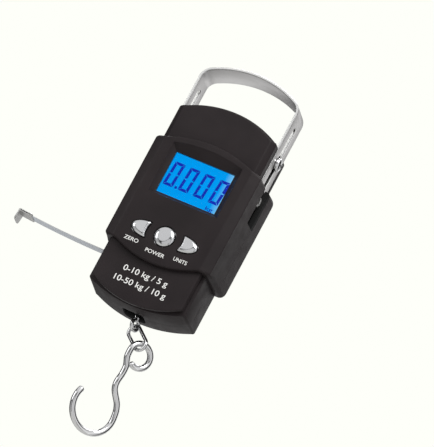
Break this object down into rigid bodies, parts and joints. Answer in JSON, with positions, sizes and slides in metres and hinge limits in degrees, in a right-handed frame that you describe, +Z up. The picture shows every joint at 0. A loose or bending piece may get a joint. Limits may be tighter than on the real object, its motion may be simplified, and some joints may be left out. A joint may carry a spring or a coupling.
{
  "type": "digital fish scale",
  "caption": "Handheld digital fish scale: steel strap handle, stepped case with a display and keys, hanging wire hook, and a pull-out tape.",
  "frame": {"origin": "middle of the underside of the handle's grip, where a hand or a hanger carries the scale", "axes": "+Z up along the scale from hook to handle, +Y from the display face to the back, +X to the right as the display is read"},
  "size_m": [0.1257, 0.0346, 0.2272],
  "materials": {
    "case_plastic": "satin black moulded ABS",
    "strap_steel": "brushed stainless strip",
    "chrome": "polished chrome plate",
    "bright_steel": "plated steel",
    "window": "clear moulded window",
    "lcd_blue": "backlit blue display",
    "white_plastic": "translucent white",
    "zebra": "striped elastomer",
    "board": "solder-masked board",
    "resin": "moulded resin",
    "parts_mix": "small board parts",
    "cell_alloy": "milled aluminium",
    "gauge_film": "foil gauge film",
    "tape_print": "printed steel tape",
    "spool_plastic": "natural acetal",
    "spring_steel": "blued spring steel",
    "housing_plastic": "black moulding",
    "battery_wrap": "plain wrapped cell",
    "red_wire": "insulated wire",
    "green_wire": "insulated wire"
  },
  "bodies": {
    "handle": {"handle_strap": "strap_steel", "handle_rivets": "bright_steel"},
    "case": {"front_cover": "case_plastic", "rear_cover": "case_plastic", "case_screws": "bright_steel", "handle_screws": "chrome", "display_window": "window", "lcd_glass": "lcd_blue", "backlight": "white_plastic", "backlight_led": "white_plastic", "zebra_strips": "zebra", "main_board": "board", "chip_blob": "resin", "board_parts": "parts_mix", "dome_switches": "bright_steel", "board_screws": "bright_steel", "load_frame": "bright_steel", "load_cell": "cell_alloy", "load_cell_screws": "bright_steel", "strain_gauges": "gauge_film", "eye_pin": "bright_steel", "spool_axle": "bright_steel", "recoil_spring": "spring_steel", "tape_housing": "housing_plastic", "tape_slot_guide": "bright_steel", "battery_cells": "battery_wrap", "battery_springs": "bright_steel", "battery_plates": "bright_steel", "battery_leads": "red_wire", "sensor_leads": "green_wire"},
    "battery_door": {"battery_door": "case_plastic"},
    "tare_key": {"tare_key": "chrome"},
    "power_key": {"power_key": "chrome"},
    "unit_key": {"unit_key": "chrome"},
    "eye": {"hook_eye": "chrome"},
    "link": {"hook_link": "chrome"},
    "hook": {"hook": "chrome"},
    "tape_end": {"tape_blade": "tape_print", "tape_end_hook": "bright_steel", "tape_end_rivets": "bright_steel"},
    "spool": {"tape_coil": "tape_print", "tape_spool": "spool_plastic"}
  },
  "joints": [
    {"name": "handle_slide", "type": "slide", "parent": "handle", "child": "case", "axis": [0, 0, 1], "range_m": [0, 0.012]},
    {"name": "tare_key_press", "type": "slide", "parent": "case", "child": "tare_key", "axis": [0, 1, 0], "range_m": [0, 0.0006], "stiffness_N_per_m": 800, "springref_m": -0.0005},
    {"name": "power_key_press", "type": "slide", "parent": "case", "child": "power_key", "axis": [0, 1, 0], "range_m": [0, 0.0006], "stiffness_N_per_m": 800, "springref_m": -0.0005},
    {"name": "unit_key_press", "type": "slide", "parent": "case", "child": "unit_key", "axis": [0, 1, 0], "range_m": [0, 0.0006], "stiffness_N_per_m": 800, "springref_m": -0.0005},
    {"name": "door_lift_off", "type": "slide", "parent": "case", "child": "battery_door", "axis": [0, 1, 0], "range_m": [0, 0.025]},
    {"name": "eye_swing", "type": "hinge", "parent": "case", "child": "eye", "pos_m": [0, 0.001, -0.1448], "axis": [0, 1, 0], "range_deg": [-9, 30]},
    {"name": "link_swing", "type": "hinge", "parent": "eye", "child": "link", "pos_m": [0.00256, 0.001, -0.15836], "axis": [0.3987, 0.9171, 0], "range_deg": [-4, 91]},
    {"name": "hook_swing", "type": "hinge", "parent": "link", "child": "hook", "pos_m": [0.01343, -0.001, -0.17125], "axis": [-0.7071, 0.7071, 0], "range_deg": [-25, 25]},
    {"name": "tape_pull", "type": "slide", "parent": "case", "child": "tape_end", "axis": [-0.9989, 0, 0.046], "range_m": [-0.0494, 0.9], "deforming": ["tape_blade"]},
    {"name": "spool_turn", "type": "hinge", "parent": "case", "child": "spool", "pos_m": [0, 0.0066, -0.112], "axis": [0, 1, 0], "range_deg": [-300, 5300], "deforming": ["recoil_spring"]}
  ],
  "couplings": [
    {"joint": "spool_turn", "follows": "tape_pull", "rad_per_m": 100.5}
  ]
}
